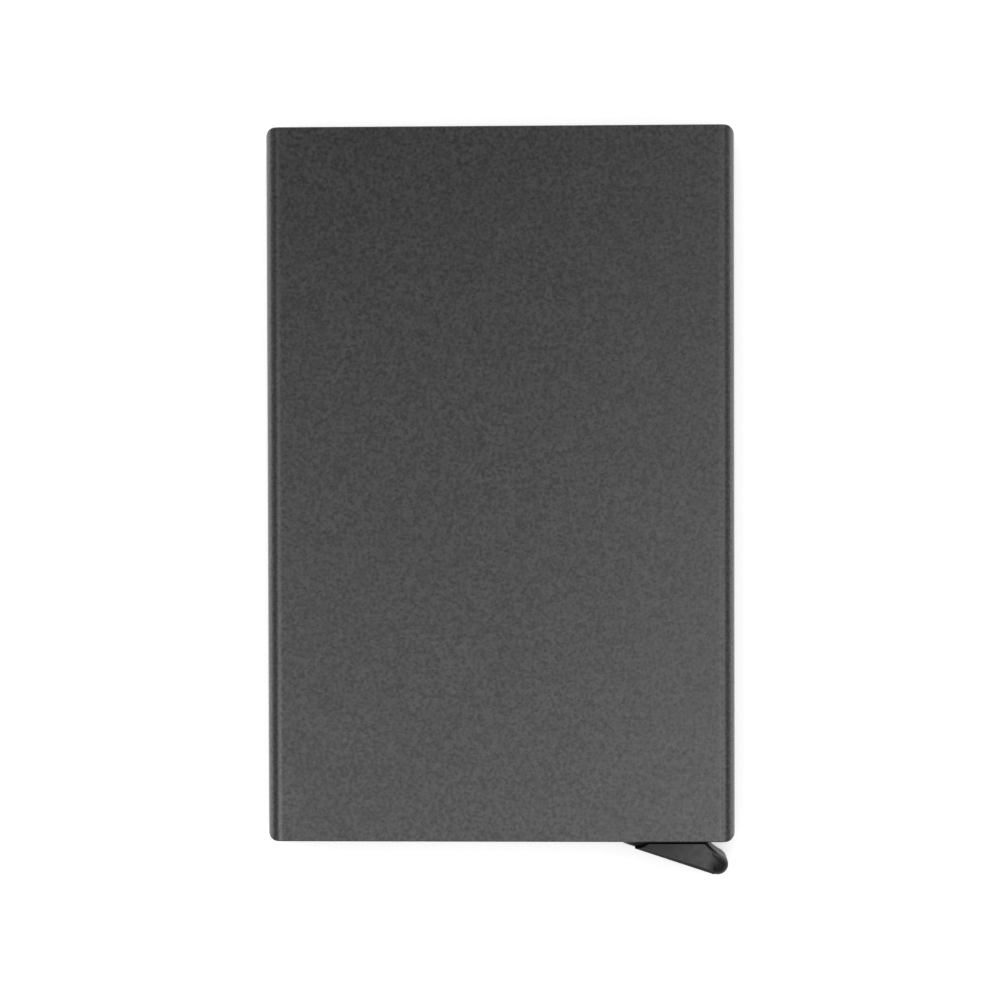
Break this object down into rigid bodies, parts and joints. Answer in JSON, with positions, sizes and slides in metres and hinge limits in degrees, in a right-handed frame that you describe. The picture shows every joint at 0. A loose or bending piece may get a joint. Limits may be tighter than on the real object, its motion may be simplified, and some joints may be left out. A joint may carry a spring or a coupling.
{
  "type": "pop-up card holder",
  "caption": "Slim dark grey aluminium sleeve that holds bank cards; a stepped lever at the base, pulled by a fingertip, pushes them out of the mouth as a fan.",
  "frame": {"origin": "centre of the sleeve's flat back face", "axes": "+X across the width, towards the lever's tab; +Y along the length, out of the card mouth; +Z through the thickness, out of the front face; the part lies on its back"},
  "size_m": [0.0634, 0.1013, 0.008],
  "materials": {
    "anodised_sleeve": "sand-blasted and dark grey anodised, fine grain, low sheen",
    "black_plastic": "moulded, fine spark texture",
    "lever_plastic": "moulded, satin, slightly grained",
    "foam": "open-cell foam strip",
    "felt": "dense short-napped felt",
    "pin_steel": "ground dowel"
  },
  "bodies": {
    "case": {"sleeve": "anodised_sleeve", "mouth_bezel": "black_plastic", "side_rail_left": "black_plastic", "side_rail_right": "black_plastic", "foam_strip_left": "foam", "foam_strip_right": "foam", "felt_strip_left": "felt", "felt_strip_right": "felt", "base_plug": "black_plastic", "pivot_pin": "pin_steel"},
    "lever": {"lever": "lever_plastic"}
  },
  "joints": [
    {"name": "lever_pivot", "type": "hinge", "parent": "case", "child": "lever", "pos_m": [0.018, -0.04615, 0.004], "axis": [0, 0, -1], "range_deg": [0, 38]}
  ]
}
